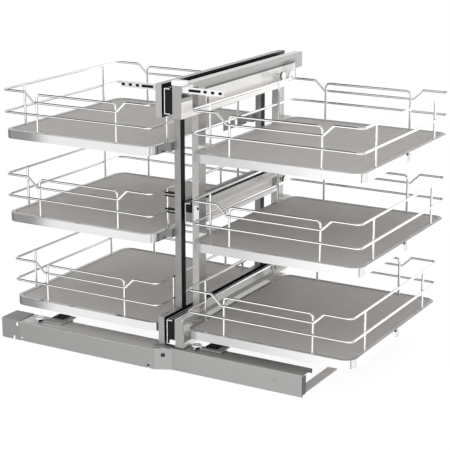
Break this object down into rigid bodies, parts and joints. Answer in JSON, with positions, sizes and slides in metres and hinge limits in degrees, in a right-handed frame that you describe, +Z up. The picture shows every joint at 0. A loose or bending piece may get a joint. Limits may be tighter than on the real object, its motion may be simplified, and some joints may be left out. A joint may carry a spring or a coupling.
{
  "type": "blind corner pull out",
  "caption": "Blind corner pull-out with wire-gallery baskets on a frame that slides sideways on a floor rail and a second frame that pulls straight out on telescopic slides.",
  "frame": {"origin": "middle of the whole footprint, on the floor", "axes": "+X along the floor rail towards the door side, +Y into the cabinet, +Z up"},
  "size_m": [0.925, 0.595, 0.66],
  "materials": {
    "chrome": "bright chromed wire and rims",
    "plated": "bright zinc plate",
    "panel": "warm grey laminated board, satin",
    "frame_steel": "satin grey steel",
    "rail_steel": "satin grey sheet steel",
    "black_plastic": "black moulded plastic",
    "white_plastic": "white moulded plastic",
    "rubber": "black rubber"
  },
  "bodies": {
    "base": {"base_rail_left": "rail_steel", "base_rail_right": "rail_steel", "joint_bracket": "rail_steel", "floor_strap": "rail_steel", "end_block": "rail_steel", "end_plug": "white_plastic", "travel_stops": "rubber"},
    "carriage": {"carriage_bar": "frame_steel", "trolleys": "frame_steel", "trolley_pads": "black_plastic", "wheel_axles": "plated", "carriage_foot": "frame_steel", "floor_wheel_fork": "frame_steel", "rear_top_beam": "frame_steel", "rear_middle_beam": "frame_steel", "rear_bottom_beam": "frame_steel", "rear_front_post": "frame_steel", "rear_back_post": "frame_steel", "rear_post_trim": "black_plastic", "rear_arm": "plated", "slide_spacers": "black_plastic", "rear_hooks": "frame_steel", "slide_outer_bottom": "plated", "slide_outer_middle": "plated", "slide_outer_top": "plated", "rear_boards": "panel", "rear_bottom_rim": "chrome", "rear_bottom_gallery": "chrome", "rear_middle_rim": "chrome", "rear_middle_gallery": "chrome", "rear_top_rim": "chrome", "rear_top_gallery": "chrome"},
    "front": {"front_top_beam": "frame_steel", "front_middle_beam": "frame_steel", "front_bottom_beam": "frame_steel", "front_front_post": "frame_steel", "front_back_post": "frame_steel", "front_arm": "plated", "front_glides": "white_plastic", "front_catch": "plated", "front_hooks": "frame_steel", "slide_inner_bottom": "frame_steel", "slide_inner_middle": "frame_steel", "slide_inner_top": "frame_steel", "slide_end_caps": "black_plastic", "front_boards": "panel", "front_bottom_rim": "chrome", "front_bottom_gallery": "chrome", "front_middle_rim": "chrome", "front_middle_gallery": "chrome", "front_top_rim": "chrome", "front_top_gallery": "chrome"},
    "slide_mid": {"slide_intermediate_bottom": "frame_steel", "slide_intermediate_middle": "frame_steel", "slide_intermediate_top": "frame_steel"},
    "cages_outer": {"ball_cages_outer": "plated"},
    "cages_inner": {"ball_cages_inner": "plated"},
    "wheel_left": {"wheel_left": "black_plastic"},
    "wheel_right": {"wheel_right": "black_plastic"},
    "floor_wheel": {"floor_wheel": "black_plastic"}
  },
  "joints": [
    {"name": "carriage_shift", "type": "slide", "parent": "base", "child": "carriage", "axis": [1, 0, 0], "range_m": [0, 0.25]},
    {"name": "front_pull", "type": "slide", "parent": "carriage", "child": "front", "axis": [0, -1, 0], "range_m": [0, 0.45]},
    {"name": "slide_mid_follow", "type": "slide", "parent": "carriage", "child": "slide_mid", "axis": [0, -1, 0], "range_m": [0, 0.225]},
    {"name": "cages_outer_follow", "type": "slide", "parent": "carriage", "child": "cages_outer", "axis": [0, -1, 0], "range_m": [0, 0.1125]},
    {"name": "cages_inner_follow", "type": "slide", "parent": "carriage", "child": "cages_inner", "axis": [0, -1, 0], "range_m": [0, 0.3375]},
    {"name": "wheel_left_roll", "type": "hinge", "parent": "carriage", "child": "wheel_left", "pos_m": [-0.366, -0.27675, 0.0518], "axis": [0, 1, 0], "range_deg": [0, 3600]},
    {"name": "wheel_right_roll", "type": "hinge", "parent": "carriage", "child": "wheel_right", "pos_m": [0.059, -0.25925, 0.0553], "axis": [0, 1, 0], "range_deg": [0, 3600]},
    {"name": "floor_wheel_roll", "type": "hinge", "parent": "carriage", "child": "floor_wheel", "pos_m": [-0.022, 0.17025, 0.02], "axis": [0, 1, 0], "range_deg": [0, 720]}
  ],
  "couplings": [
    {"joint": "slide_mid_follow", "follows": "front_pull", "ratio": 0.5},
    {"joint": "cages_outer_follow", "follows": "front_pull", "ratio": 0.25},
    {"joint": "cages_inner_follow", "follows": "front_pull", "ratio": 0.75},
    {"joint": "wheel_left_roll", "follows": "carriage_shift", "rad_per_m": 250},
    {"joint": "wheel_right_roll", "follows": "carriage_shift", "rad_per_m": 250},
    {"joint": "floor_wheel_roll", "follows": "carriage_shift", "rad_per_m": 50}
  ]
}
